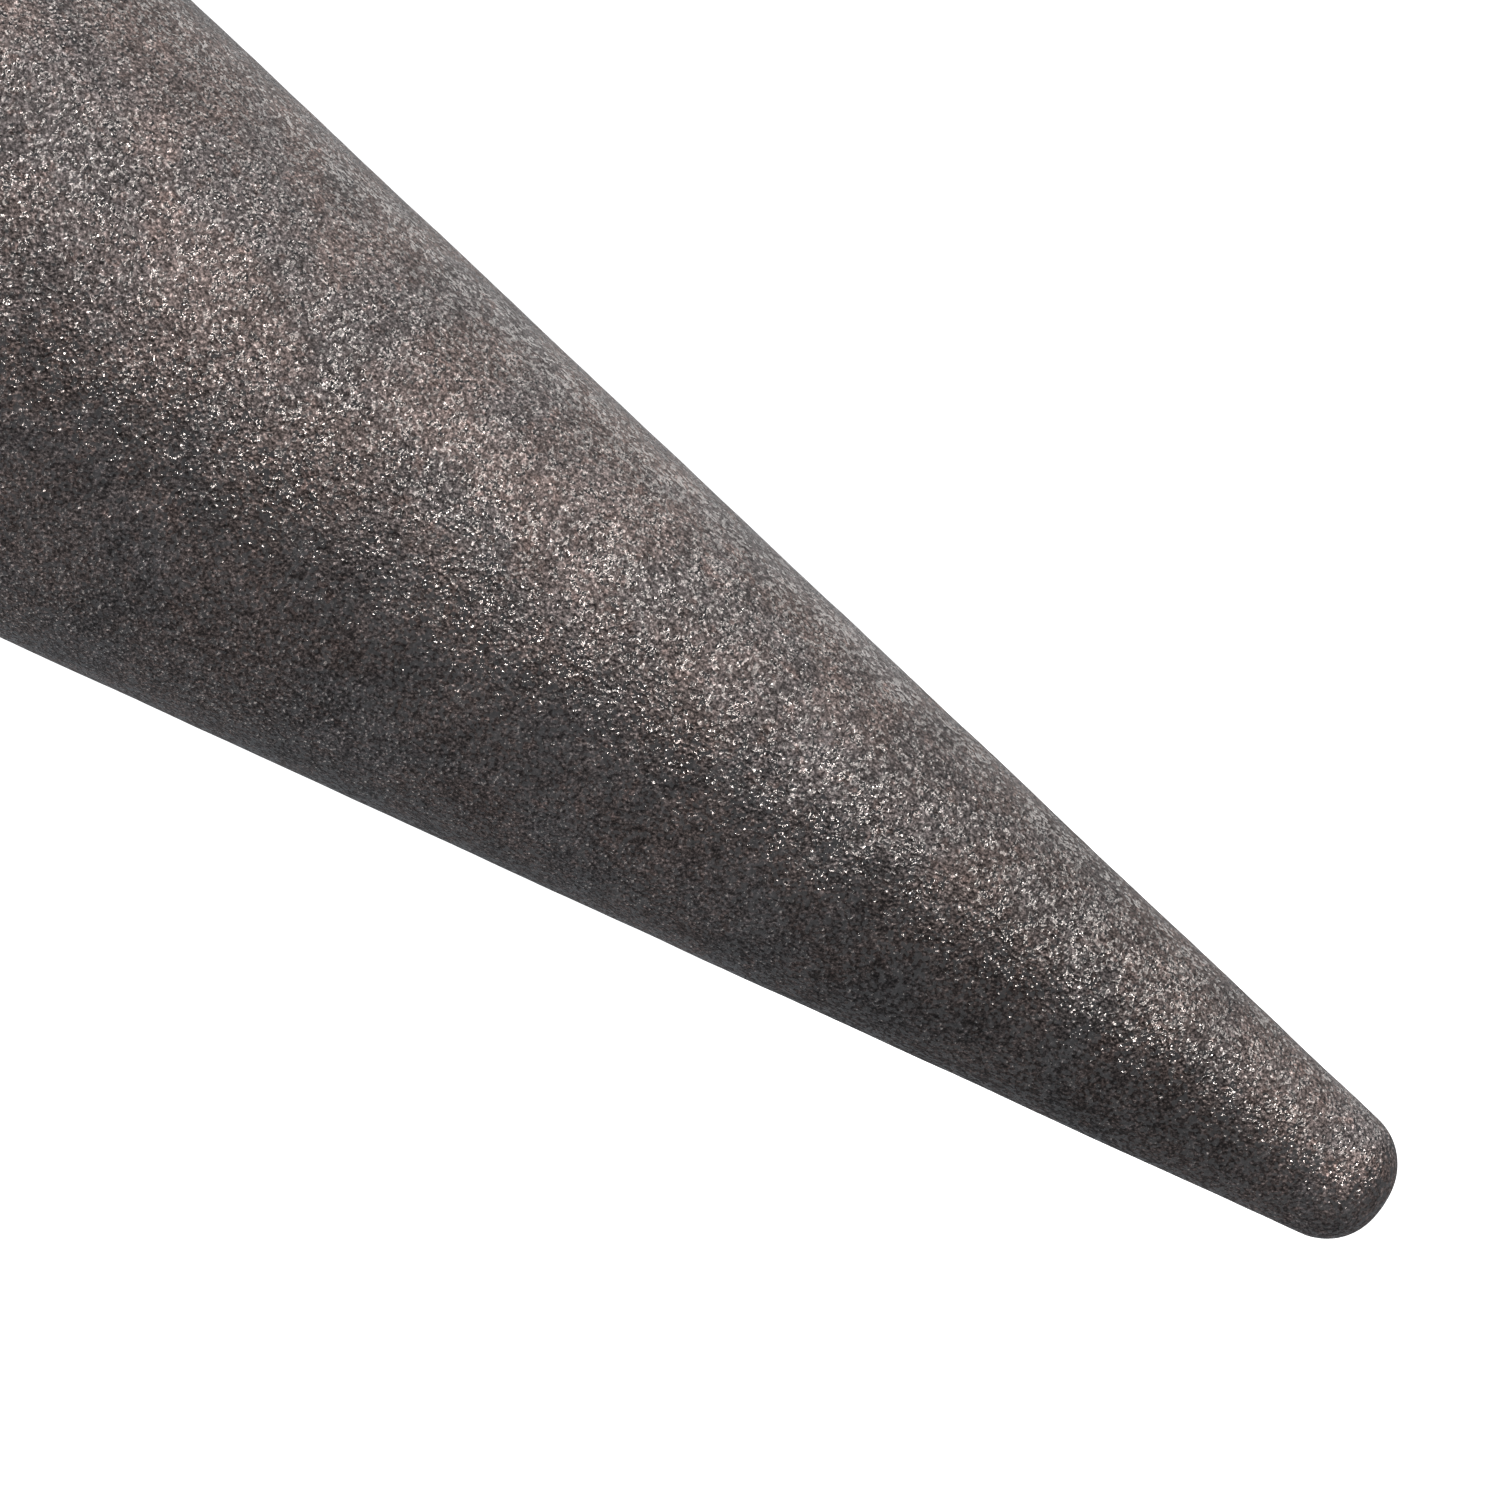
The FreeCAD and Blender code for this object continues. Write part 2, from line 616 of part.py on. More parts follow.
def round_upper_corners(body):
    """Rounds the free upper corners of the flanges or of the clamp plate."""
    def at_corner(edge):
        middle = edge.BoundBox.Center
        along_y = edge.BoundBox.YLength > 1 and edge.BoundBox.XLength < 0.001
        return (
            along_y
            and edge.BoundBox.ZLength < 0.001
            and abs(abs(middle.x) - value(FLANGE_END)) < 0.001
            and middle.z > body.Tip.Shape.BoundBox.ZMax - 0.001
        )
    dress(body, "Fillet", "flange_corner", at_corner)


def clamp_bolt_spots():
    """The (x, z) places of the four clamp bolts above the shoe floor."""
    heights = ("clamp_bolt_low", "clamp_bolt_high")
    return [(f"{side} * {CLAMP_BOLT_SIDE}", height) for side in SIDES for height in heights]


def make_shoe_rib(label, turn, side):
    """Triangular rib between a side wall of the shoe and the base."""
    body = node(new_body(label), label)
    inner = f"({SHOE_OUTSIDE} + weld_gap)"
    outer = f"({SHOE_OUTSIDE} + shoe_rib_reach)"
    profile = outline(body, "RibProfile", "XZ_Plane", [
        (inner, "0"), (outer, "0"), (outer, "shoe_rib_nose"),
        (f"{inner} + shoe_rib_nose", "shoe_rib_height"), (inner, "shoe_rib_height"),
    ])
    pad(body, profile, "rib_thickness", symmetric=True)
    place(body, y=f"{side} * shoe_rib_place", z=BASE_TOP, turn=turn)


# ---------------------------------------------------------------- fasteners
def make_washer():
    body = new_body("washer_master")
    rings = [("0", "0", "washer_diameter / 2"), ("0", "0", BOLT_HOLE)]
    pad(body, circles(body, "WasherRing", "XY_Plane", rings), "washer_thickness")
    return body


def make_hex_bolt():
    """Hexagon bolt whose head stands on the XY plane."""
    body = new_body("lock_bolt_master")
    pad(body, hexagon(body, "HeadHexagon", "bolt_flats"), "bolt_head")
    chamfer_corners(body, "bolt_flats", "bolt_head", upwards=True)
    add_shank(body, "bolt_diameter",
              "(washer_thickness + base_thickness + swivel_gap + head_thickness"
              " + washer_thickness + nut_height + thread_beyond)")
    return body


def make_carriage_bolt():
    """Round-headed bolt whose square neck sits in the flange."""
    body = new_body("clamp_bolt_master")
    head = "(dome_diameter / 2)"
    pad(body, circles(body, "Dome", "XY_Plane", [("0", "0", head)]), "dome_height")
    dress(body, "Fillet", "min(dome_round; dome_height * 0.95)",
          lambda edge: is_ring(edge, head, "dome_height"))
    half = "(neck_square / 2)"
    neck = rectangles(body, "Neck", "XY_Plane", [("0", "0")], half, half)
    pad(body, neck, "shell_wall", downwards=True)
    add_shank(body, "bolt_diameter",
              "(2 * shell_wall + clamp_bite + washer_thickness + nut_height"
              " + clamp_travel + thread_beyond)")
    return body


def lock_spots(height):
    return [(f"{side} * {SLOT_RADIUS}", "0", height) for side in SIDES]


def clamp_spots(front):
    """Places of the clamp bolts' parts, at a distance in front of the axis."""
    return [(x, f"-{front}", f"{BASE_TOP} + {height}") for x, height in clamp_bolt_spots()]


def make_fasteners():
    washer = make_washer()
    nut = make_nut("nut_master", "bolt_flats", "nut_height", "bolt_diameter")
    under_head = f"({BASE_TOP} + washer_thickness)"
    under_washer = "(neck_height - washer_thickness)"
    copies("lock_bolts", make_hex_bolt(), lock_spots(under_head))
    copies("lock_washers_upper", washer, lock_spots(BASE_TOP))
    copies("lock_washers_lower", washer, lock_spots(under_washer))
    copies("lock_nuts", nut, lock_spots(f"({under_washer} - nut_height)"))
    forwards = {"axis": (1, 0, 0), "turn": 90}
    copies("clamp_bolts", make_carriage_bolt(), clamp_spots(FLANGE_BACK),
           axis=(1, 0, 0), turn=-90)
    copies("clamp_washers", washer, clamp_spots(CLAMP_FRONT), **forwards)
    copies("clamp_nuts", nut, clamp_spots(f"({CLAMP_FRONT} + washer_thickness)"), **forwards)


# ---------------------------------------------------------------- the clamp plate
def make_clamp_plate():
    """Front wall of the shoe, which the four clamp bolts draw onto the post."""
    body = node(new_body("clamp_plate"), "clamp_plate")
    profile = outline(body, "ClampOutline", "XZ_Plane", [
        (FLANGE_END, "clamp_lift"), (FLANGE_END, "shell_height"),
        (f"-{FLANGE_END}", "shell_height"), (f"-{FLANGE_END}", "clamp_lift"),
    ])
    pad(body, profile, "shell_wall")
    round_upper_corners(body)
    holes = [(x, height, BOLT_HOLE) for x, height in clamp_bolt_spots()]
    holes += [("0", height, "screw_hole_diameter / 2")
              for height in ("screw_hole_low", "screw_hole_high")]
    cut_through(body, circles(body, "ClampHoles", "XZ_Plane", holes))
    place(body, y=f"-{SHOE_INSIDE}", z=BASE_TOP)


# ---------------------------------------------------------------- the whole anchor
def make_all():
    make_drive_point()
    make_point_pin()
    make_shaft_tube()
    for number, side in enumerate(("right", "back", "left", "front")):
        make_fin(f"fin_{side}", 90 * number)
    make_ground_plate()
    for number in range(4):
        make_neck_rib(f"neck_rib_{number + 1}", 45 + 90 * number)
    make_head_plate()
    make_pivot_nut()
    make_pivot_bolt()
    make_shoe_base()
    make_shoe_shell()
    for side, turn in (("right", 0), ("left", 180)):
        make_shoe_rib(f"shoe_rib_{side}_back", turn, 1)
        make_shoe_rib(f"shoe_rib_{side}_front", turn, -1)
    make_fasteners()
    make_clamp_plate()


def check_document():
    """Stops if any object failed, or a sub-part is empty or not valid."""
    document.recompute()
    for item in document.Objects:
        if "Invalid" in item.State or "Error" in item.State:
            raise RuntimeError(f"{item.Label} failed: {item.State}")
    for label, item in nodes.items():
        if item.Shape.isNull() or not item.Shape.Solids or not item.Shape.isValid():
            raise RuntimeError(f"{label} has no valid solid")


def write_parts():
    os.makedirs("parts", exist_ok=True)
    for label, item in nodes.items():
        item.Shape.exportStep(f"parts/{label}.step")
        box = item.Shape.BoundBox
        print(f"{label:24s} {len(item.Shape.Solids)} solid(s) {item.Shape.Volume:12.1f} mm3"
              f"  x {box.XMin:7.1f} {box.XMax:7.1f}  y {box.YMin:7.1f} {box.YMax:7.1f}"
              f"  z {box.ZMin:7.1f} {box.ZMax:7.1f}")


make_all()
check_document()
write_parts()
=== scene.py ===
"""Looks of the drive-in post anchor: finishes, forged surface, weld seams, threads and studio.

Metres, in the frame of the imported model: +Z up, origin on the shaft's axis at the ground line.
"""
import json
import math

import bmesh
import bpy
import numpy as np
from mathutils import Matrix, Vector, noise


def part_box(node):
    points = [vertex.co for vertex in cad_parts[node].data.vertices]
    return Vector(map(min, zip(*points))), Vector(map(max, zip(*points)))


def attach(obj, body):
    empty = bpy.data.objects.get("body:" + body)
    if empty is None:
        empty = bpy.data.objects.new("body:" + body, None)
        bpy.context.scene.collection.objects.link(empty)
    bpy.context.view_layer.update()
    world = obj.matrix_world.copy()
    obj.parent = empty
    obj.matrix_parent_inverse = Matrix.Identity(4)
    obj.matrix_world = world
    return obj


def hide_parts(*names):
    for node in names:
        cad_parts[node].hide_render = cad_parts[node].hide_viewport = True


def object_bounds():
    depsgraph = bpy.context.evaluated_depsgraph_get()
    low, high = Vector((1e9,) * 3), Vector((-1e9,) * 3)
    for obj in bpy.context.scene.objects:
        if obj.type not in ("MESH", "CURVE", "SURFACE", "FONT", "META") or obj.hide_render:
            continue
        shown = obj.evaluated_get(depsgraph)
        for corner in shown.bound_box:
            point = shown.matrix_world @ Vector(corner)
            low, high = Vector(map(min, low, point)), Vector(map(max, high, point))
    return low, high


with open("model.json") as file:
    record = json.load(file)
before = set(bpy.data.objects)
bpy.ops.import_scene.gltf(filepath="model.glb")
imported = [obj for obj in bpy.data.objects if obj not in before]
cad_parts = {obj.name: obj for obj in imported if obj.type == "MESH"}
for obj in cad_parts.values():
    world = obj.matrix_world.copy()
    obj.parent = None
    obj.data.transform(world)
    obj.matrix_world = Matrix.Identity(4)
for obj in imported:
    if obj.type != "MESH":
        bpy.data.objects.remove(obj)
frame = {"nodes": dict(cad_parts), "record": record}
cad_low, cad_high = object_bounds()
MM = 0.001


# ---------------------------------------------------------------- places, from the frame
def low(node):
    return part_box(node)[0]


def high(node):
    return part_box(node)[1]


WELD_GAP = 0.1 * MM                         # between a plate's edge and what it is welded to
TIP = low("drive_point").z                  # lower end of the forged point
PLUG_TOP = high("drive_point").z            # top of the plug inside the tube
SEAM = low("shaft_tube").z                  # where point and tube are welded
PLATE_LOW = low("ground_plate").z
PLATE_TOP = high("ground_plate").z
HEAD_LOW = low("head_plate").z
BASE_TOP = high("shoe_base").z
FIN_HALF = high("fin_right").y              # half of a fin's thickness
TUBE = low("fin_right").x - WELD_GAP        # outside radius of the tube
FIN_REACH = high("fin_right").x
FIN_LOW = low("fin_right").z
RIB_HALF = (high("shoe_rib_right_back").y - low("shoe_rib_right_back").y) / 2
RIB_REACH = (high("neck_rib_1").x - RIB_HALF * math.sqrt(0.5)) * math.sqrt(2)
PLUG = TUBE - 4.2 * MM                      # radius of the plug inside the tube
POINT_END = 4.65 * MM                       # radius of the point's end, before rounding
POINT_ROUND = 4.7 * MM                      # radius that rounds it
GROOVE = 2.5 * MM                           # bevel on both edges of the seam
UP = Vector((0, 0, 1))

# ---------------------------------------------------------------- camera
# The picture looks at the point from the side, rolled, with the point down to the right.
FRAME_WIDTH = 114.8 * MM          # of the object, seen in the picture
LENS = 120.0
SENSOR = 36.0
ROLL_RIGHT, ROLL_DOWN = 0.8294, 0.5587   # where the picture shows the way down the shaft
AIM_ABOVE_APEX = 87.8 * MM        # picture's centre above the cone's apex, along the axis
AIM_BESIDE_AXIS = 1.83 * MM       # picture's centre beside the axis, towards +X


def cone_apex_height():
    """Height at which the cone's straight sides would meet."""
    cone_length = SEAM - TIP
    slope = (TUBE - POINT_END) / cone_length
    return SEAM - TUBE / slope


def make_camera():
    """Sets the camera, and returns the place beside the shaft's axis that it faces."""
    data = bpy.data.cameras.new("camera")
    data.lens = LENS
    data.sensor_width = SENSOR
    data.clip_start = 0.01
    data.clip_end = 100
    camera = bpy.data.objects.new("camera", data)
    bpy.context.scene.collection.objects.link(camera)
    right = Vector((ROLL_DOWN, 0, -ROLL_RIGHT)).normalized()
    back = Vector((0, -1, 0))
    up = back.cross(right)
    turn = Matrix((right, up, back)).transposed()
    distance = FRAME_WIDTH * LENS / SENSOR
    aim = Vector((AIM_BESIDE_AXIS, 0, cone_apex_height() + AIM_ABOVE_APEX))
    camera.matrix_world = Matrix.Translation(aim + back * distance) @ turn.to_4x4()
    bpy.context.scene.camera = camera
    return aim


# ---------------------------------------------------------------- studio
FLOOR_BELOW = 2 * MM       # how far the floor lies below the point
FLOOR_RADIUS = 6.0
BACKDROP_RADIUS = 8.0
CAMERA_ONLY = ("visible_diffuse", "visible_glossy", "visible_transmission", "visible_shadow")
# Each light: what it faces, direction from there, distance, side of the soft box, power in
# watts, and the angle in degrees that the grid on its front lets through.
LIGHTS = {
    "key": ("point", (0.50, -0.82, -0.25), 2.5, 0.4, 24.0, 180),
    "side": ("point", (0.97, -0.10, -0.22), 2.5, 1.8, 27.0, 180),
    "rear": ("point", (0.58, 0.80, -0.05), 2.5, 1.2, 6.0, 180),
    "high": ("point", (-0.60, 0.36, 0.72), 2.5, 3.0, 22.0, 180),
    "top": ("shoe", (-0.15, -0.30, 1.0), 1.8, 1.6, 36.0, 180),
    "front": ("shoe", (0.15, -0.85, 0.50), 0.9, 0.6, 5.5, 180),
    "back": ("shoe", (-0.35, 1.0, 0.30), 1.1, 0.5, 1.2, 30),
    "shaft": ("shaft", (-0.60, 1.0, 0.15), 1.1, 0.3, 0.17, 16),
}
LIGHT_COLOUR = (1.0, 0.975, 0.95)
WORLD_COLOUR = (0.88, 0.935, 1.0)
WORLD_STRENGTH = 0.225


def add_area(name, place, aim, side, power, grid):
    """A square soft box at a place, facing a point."""
    data = bpy.data.lights.new(name, "AREA")
    data.spread = math.radians(grid)
    data.size = side
    data.energy = power
    data.color = LIGHT_COLOUR
    light = bpy.data.objects.new(name, data)
    bpy.context.scene.collection.objects.link(light)
    facing = (place - aim).to_track_quat("Z", "Y").to_matrix().to_4x4()
    light.matrix_world = Matrix.Translation(place) @ facing


def add_stage(name, build):
    """A white piece of the studio, which only the camera sees."""
    data = bpy.data.meshes.new(name)
    shape = bmesh.new()
    build(shape)
    shape.to_mesh(data)
    shape.free()
    data.materials.append(white_paper(name))
    stage = bpy.data.objects.new(name, data)
    bpy.context.scene.collection.objects.link(stage)
    for kind in CAMERA_ONLY:
        setattr(stage, kind, False)


def white_paper(name):
    material, tree, shader = new_material(name)
    shader.inputs["Base Color"].default_value = (0.9, 0.9, 0.9, 1)
    shader.inputs["Roughness"].default_value = 0.9
    shader.inputs["Emission Color"].default_value = (1, 1, 1, 1)
    shader.inputs["Emission Strength"].default_value = 1.0
    return material


def make_studio(aim):
    world = bpy.data.worlds.new("studio")
    bpy.context.scene.world = world
    world.use_nodes = True
    background = world.node_tree.nodes["Background"]
    background.inputs["Color"].default_value = (*WORLD_COLOUR, 1)
    background.inputs["Strength"].default_value = WORLD_STRENGTH
    targets = {"point": aim, "shoe": UP * BASE_TOP, "shaft": UP * FIN_LOW / 2}
    for name, (target, direction, distance, side, power, grid) in LIGHTS.items():
        place = targets[target] + Vector(direction).normalized() * distance
        add_area(name, place, targets[target], side, power, grid)
    level = cad_low.z - FLOOR_BELOW
    add_stage("floor", lambda shape: bmesh.ops.create_circle(
        shape, cap_ends=True, segments=64, radius=FLOOR_RADIUS,
        matrix=Matrix.Translation((0, 0, level))))
    add_stage("backdrop", lambda shape: bmesh.ops.create_uvsphere(
        shape, u_segments=48, v_segments=24, radius=BACKDROP_RADIUS))


# ---------------------------------------------------------------- materials
def new_material(name):
    material = bpy.data.materials.new(name)
    material.use_nodes = True
    tree = material.node_tree
    return material, tree, tree.nodes["Principled BSDF"]


class Nodes:
    """Short names for the shader nodes that the materials are made of."""

    def __init__(self, tree):
        self.tree = tree
        self.place = self.add("ShaderNodeTexCoord").outputs["Object"]

    def add(self, kind, **values):
        node = self.tree.nodes.new(kind)
        for key, value in values.items():
            setattr(node, key, value)
        return node

    def feed(self, socket, value):
        if isinstance(value, bpy.types.NodeSocket):
            self.tree.links.new(value, socket)
        else:
            socket.default_value = value

    def stretched(self, along_x, along_y, along_z):
        """The place, squeezed so that a texture comes out longer along an axis."""
        node = self.add("ShaderNodeVectorMath", operation="MULTIPLY")
        self.feed(node.inputs[0], self.place)
        node.inputs[1].default_value = (1 / along_x, 1 / along_y, 1 / along_z)
        return node.outputs["Vector"]

    def noise(self, size, detail=2.0, roughness=0.5, distortion=0.0, place=None):
        """Noise whose blotches are about size across; values near 0.5."""
        node = self.add("ShaderNodeTexNoise")
        self.feed(node.inputs["Vector"], place or self.place)
        node.inputs["Scale"].default_value = 1 / size
        node.inputs["Detail"].default_value = detail
        node.inputs["Roughness"].default_value = roughness
        node.inputs["Distortion"].default_value = distortion
        return node.outputs["Fac"]

    def cells(self, size):
        """Distance to the nearest cell's middle, and a random colour for each cell."""
        node = self.add("ShaderNodeTexVoronoi", feature="F1")
        self.feed(node.inputs["Vector"], self.place)
        node.inputs["Scale"].default_value = 1 / size
        return node.outputs["Distance"], node.outputs["Color"]

    def math(self, operation, *values):
        node = self.add("ShaderNodeMath", operation=operation)
        for socket, value in zip(node.inputs, values):
            self.feed(socket, value)
        return node.outputs[0]

    def spread(self, value, low, high, to_low=0.0, to_high=1.0, smooth=True):
        """Maps low..high to another range and holds it there."""
        kind = "SMOOTHSTEP" if smooth else "LINEAR"
        node = self.add("ShaderNodeMapRange", interpolation_type=kind)
        self.feed(node.inputs["Value"], value)
        for socket, number in zip(("From Min", "From Max", "To Min", "To Max"),
                                  (low, high, to_low, to_high)):
            self.feed(node.inputs[socket], number)
        return node.outputs["Result"]

    def mix(self, share, first, second, blend="MIX"):
        node = self.add("ShaderNodeMix", data_type="RGBA", blend_type=blend)
        # the colour sockets of this node are the seventh and eighth, its factor the first
        self.feed(node.inputs[0], share)
        self.feed(node.inputs[6], first)
        self.feed(node.inputs[7], second)
        return node.outputs[2]

    def grey(self, value):
        node = self.add("ShaderNodeCombineColor")
        for socket in node.inputs[:3]:
            self.feed(socket, value)
        return node.outputs[0]

    def facets(self, cell_colour, share, tilt):
        """The surface's normal, tipped a different way in each cell by share times tilt."""
        centred = self.add("ShaderNodeVectorMath", operation="SUBTRACT")
        self.feed(centred.inputs[0], cell_colour)
        centred.inputs[1].default_value = (0.5, 0.5, 0.5)
        scaled = self.add("ShaderNodeVectorMath", operation="SCALE")
        self.feed(scaled.inputs[0], centred.outputs["Vector"])
        self.feed(scaled.inputs["Scale"], self.math("MULTIPLY", share, tilt))
        total = self.add("ShaderNodeVectorMath", operation="ADD")
        self.feed(total.inputs[0], self.add("ShaderNodeNewGeometry").outputs["Normal"])
        self.feed(total.inputs[1], scaled.outputs["Vector"])
        level = self.add("ShaderNodeVectorMath", operation="NORMALIZE")
        self.feed(level.inputs[0], total.outputs["Vector"])
        return level.outputs["Vector"]

    def bump(self, height, depth, normal=None):
        node = self.add("ShaderNodeBump")
        node.inputs["Strength"].default_value = 1.0
        node.inputs["Distance"].default_value = depth
        self.feed(node.inputs["Height"], height)
        if normal is not None:
            self.feed(node.inputs["Normal"], normal)
        return node.outputs["Normal"]


BROWN = (0.172, 0.137, 0.128, 1)     # rusty mill scale
SLATE = (0.144, 0.126, 0.124, 1)     # bluish scale
RUST = (0.195, 0.140, 0.125, 1)      # thin rust in the hollows
BRIGHT = (0.56, 0.53, 0.51, 1)       # scale rubbed off the crests
RUBBED = (0.30, 0.275, 0.262, 1)     # cut edges, rubbed by handling
PLATE_BROWN = (0.150, 0.124, 0.117, 1)
PLATE_SLATE = (0.128, 0.116, 0.118, 1)
SHADE_RING_HEIGHT = 30 * MM                # middle of a ring of painted shade above the point's end
METAL = 0.75                         # how metallic the scale is between its bright facets


def scale_finish(n, shader, grain, relief, blotches=10 * MM, tones=(BROWN, SLATE), gloss=0.34,
                 tilt=0.42, ring=1.0):
    """Dark forging scale: two-toned blotches, a peppery grain and blasted facets that glint."""
    patch = n.noise(blotches, detail=4, distortion=0.8)
    blotch = n.spread(patch, 0.40, 0.60)
    tone = n.mix(blotch, tones[0], tones[1])
    rust = n.spread(n.noise(4.5 * grain, detail=3, roughness=0.65), 0.54, 0.68, 0, 0.6)
    tone = n.mix(rust, tone, RUST)
    pepper = n.noise(0.80 * grain, detail=2.0, roughness=0.75)
    pepper = n.math("POWER", 600.0, n.math("SUBTRACT", pepper, 0.52))
    coarse = n.spread(n.noise(3 * grain, detail=2), 0.3, 0.7, 0.75, 1.2, False)
    broad = n.spread(n.noise(6 * MM, detail=3, distortion=0.6), 0.35, 0.65, 0.82, 1.12)
    # ring brings the point's painted shade and painted highlight into the colour; it stays 1 for
    # the other finishes
    shade = n.math("MULTIPLY", n.math("MULTIPLY", pepper, coarse), n.math("MULTIPLY", broad, ring))
    tone = n.mix(1.0, tone, n.grey(shade), "MULTIPLY")
    distance, chance = n.cells(0.90 * grain)
    cluster = n.math("SUBTRACT", n.noise(0.55 * blotches, detail=3), 0.5)
    glint = n.spread(n.math("ADD", chance, n.math("MULTIPLY", cluster, 0.5)), 0.58, 0.64)
    n.feed(shader.inputs["Base Color"], n.mix(n.math("MULTIPLY", glint, 0.32), tone, BRIGHT))
    n.feed(shader.inputs["Metallic"], n.spread(glint, 0, 1, METAL, 1.0))
    shader.inputs["Specular IOR Level"].default_value = 0.35
    dull = n.spread(n.noise(6 * grain, detail=2), 0.35, 0.65, gloss + 0.06, gloss + 0.20)
    n.feed(shader.inputs["Roughness"], n.math("SUBTRACT", dull, n.math("MULTIPLY", glint, 0.26)))
    crests = n.noise(grain, detail=2.0, roughness=0.6, distortion=0.2)
    dimples = n.spread(distance, 0.0, 0.8, 0.0, 1.0)
    height = n.math("ADD", crests, n.math("MULTIPLY", dimples, 0.55))
    facets = n.facets(chance, glint, tilt)
    n.feed(shader.inputs["Normal"], n.bump(height, relief, facets))


def forged_steel():
    """The point's scale, with a painted highlight that brightens its end and a ring of painted
    shade above that.
    """
    material, tree, shader = new_material("forged_steel")
    n = Nodes(tree)
    split = n.add("ShaderNodeSeparateXYZ")
    n.feed(split.inputs[0], n.place)
    from_shade_ring = n.math("ABSOLUTE", n.math("SUBTRACT", split.outputs["Z"], TIP + SHADE_RING_HEIGHT))
    # painted shade: the colour is darkened to 0.71 within 10 mm of the ring's middle, fading out by
    # 28 mm
    ring = n.spread(from_shade_ring, 10 * MM, 28 * MM, 0.71, 1.0)
    # painted highlight: the colour is brightened to 1.32 over the last 2 mm of the point's end,
    # fading out by 12 mm
    end = n.spread(split.outputs["Z"], TIP + 2 * MM, TIP + 12 * MM, 1.32, 1.0)
    scale_finish(n, shader, grain=0.34 * MM, relief=0.12 * MM, ring=n.math("MULTIPLY", ring, end))
    return material


def plate_steel():
    """Hot-rolled plate and tube after blasting: finer and flatter than the forged point."""
    material, tree, shader = new_material("blasted_plate_steel")
    n = Nodes(tree)
    scale_finish(n, shader, grain=0.40 * MM, relief=0.10 * MM, blotches=26 * MM,
                 tones=(PLATE_BROWN, PLATE_SLATE), gloss=0.38, tilt=0.2)
    return material


def worn_edge():
    """Cut edges, rubbed brighter in patches by handling and by the ground."""
    material, tree, shader = new_material("worn_edge")
    n = Nodes(tree)
    scale_finish(n, shader, grain=0.40 * MM, relief=0.06 * MM, tones=(BROWN, RUBBED), gloss=0.30,
                 blotches=9 * MM, tilt=0.2)
    return material


def weld_metal():
    """Weld beads: dark bluish scale with straw and blue temper tints, glossier than the plate."""
    material, tree, shader = new_material("weld_metal")
    n = Nodes(tree)
    tint = n.noise(6 * MM, detail=3, distortion=1.2)
    colour = n.mix(n.spread(tint, 0.35, 0.5), (0.135, 0.127, 0.130, 1), (0.175, 0.148, 0.128, 1))
    colour = n.mix(n.spread(tint, 0.52, 0.66), colour, (0.105, 0.112, 0.130, 1))
    speck = n.spread(n.noise(0.5 * MM, detail=3, roughness=0.7), 0.35, 0.65, 0.6, 1.3, False)
    n.feed(shader.inputs["Base Color"], n.mix(1.0, colour, n.grey(speck), "MULTIPLY"))
    shader.inputs["Metallic"].default_value = 0.9
    n.feed(shader.inputs["Roughness"], n.spread(n.noise(1.5 * MM, detail=3), 0.3, 0.7, 0.26, 0.50))
    n.feed(shader.inputs["Normal"], n.bump(n.noise(0.7 * MM, detail=3, roughness=0.6), 0.10 * MM))
    return material


def zinc_plated():
    """Bright zinc plating, slightly clouded and with fine handling scratches."""
    material, tree, shader = new_material("zinc_plated_steel")
    n = Nodes(tree)
    cloud = n.spread(n.noise(7 * MM, detail=4, distortion=0.5), 0.35, 0.65)
    colour = n.mix(cloud, (0.60, 0.62, 0.65, 1), (0.66, 0.65, 0.60, 1))
    grime = n.spread(n.noise(2.2 * MM, detail=4, roughness=0.65), 0.56, 0.74, 0, 0.45)
    colour = n.mix(grime, colour, (0.34, 0.32, 0.30, 1))
    n.feed(shader.inputs["Base Color"], colour)
    shader.inputs["Metallic"].default_value = 1.0
    streak = n.noise(0.25 * MM, detail=3, place=n.stretched(1, 9, 9))
    dull = n.spread(n.math("ADD", streak, n.math("MULTIPLY", cloud, 0.3)), 0.3, 0.95, 0.22, 0.46)
    n.feed(shader.inputs["Roughness"], dull)
    height = n.math("ADD", n.noise(0.9 * MM, detail=3), n.math("MULTIPLY", streak, 0.35))
    n.feed(shader.inputs["Normal"], n.bump(height, 0.035 * MM))
    return material


def spring_steel():
    """Hardened spring steel and the weld nut: oil-blackened, blue-black, faintly streaked."""
    material, tree, shader = new_material("spring_steel")
    n = Nodes(tree)
    oil = n.spread(n.noise(3 * MM, detail=4, distortion=0.6), 0.35, 0.65)
    colour = n.mix(oil, (0.075, 0.077, 0.088, 1), (0.13, 0.12, 0.115, 1))
    n.feed(shader.inputs["Base Color"], colour)
    shader.inputs["Metallic"].default_value = 0.95
    streak = n.noise(0.3 * MM, detail=2, place=n.stretched(8, 1, 1))
    n.feed(shader.inputs["Roughness"], n.spread(streak, 0.3, 0.7, 0.25, 0.45))
    n.feed(shader.inputs["Normal"], n.bump(n.noise(0.5 * MM, detail=3), 0.03 * MM))
    return material


FINISHES = {
    "forged_steel": forged_steel(),
    "blasted_plate_steel": plate_steel(),
    "zinc_plated_steel": zinc_plated(),
    "spring_steel": spring_steel(),
}
EDGE = worn_edge()
WELD = weld_metal()
SLOTS = {part["node"]: part["material_slot"] for part in frame["record"]["subparts"]}
BODY_OF = {node: body for body, nodes in frame["record"]["behaviour"]["bodies"].items()
           for node in nodes}


# ---------------------------------------------------------------- building meshes
def add_piece(name, body, mesh, finishes, stands_for=()):
    """Puts a finished mesh into the scene as a piece of the object."""
    for finish in finishes:
        mesh.materials.append(finish)
    piece = bpy.data.objects.new(name, mesh)
    bpy.context.scene.collection.objects.link(piece)
    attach(piece, body)
    if stands_for:
        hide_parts(*stands_for)


